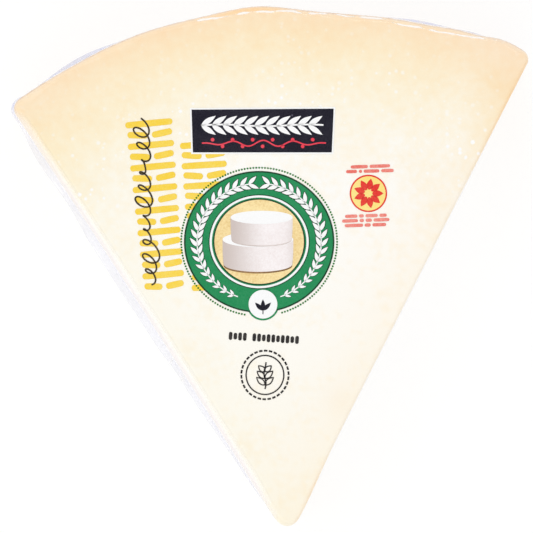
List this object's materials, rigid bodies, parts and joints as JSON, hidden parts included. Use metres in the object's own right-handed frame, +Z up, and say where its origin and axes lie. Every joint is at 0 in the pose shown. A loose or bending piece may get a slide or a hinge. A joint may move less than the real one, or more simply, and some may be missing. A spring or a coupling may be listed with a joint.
{
  "type": "pecorino romano wedge in film",
  "caption": "Flat wedge of hard pecorino romano cut from a wheel, with a curved rind side, sealed tight in clear printed shrink film with a thin trimmed seal round its sides.",
  "frame": {"origin": "middle of the footprint box, on the surface the wedge lies on", "axes": "+Z up, through the printed sawn face; +Y from the wedge's point towards its rind; +X to the right of someone who looks down on the printed face with the rind away from them"},
  "size_m": [0.155, 0.1562, 0.0482],
  "materials": {
    "sealed_cheese": "clear film lying tight on pale cheese",
    "cheese": "smooth sawn hard cheese, near-white in the middle and straw towards the rind, with small white crystals",
    "film": "clear glossy shrink film, lavender where it lies double",
    "print_green": "green ink on film",
    "print_navy": "near-black navy ink on film",
    "print_yellow": "translucent yellow ink on film",
    "print_gold": "pale gold ink on film",
    "print_red": "red ink on film",
    "print_white": "white ink on film"
  },
  "bodies": {
    "root": {"sealed_wedge": "sealed_cheese"}
  },
  "joints": []
}
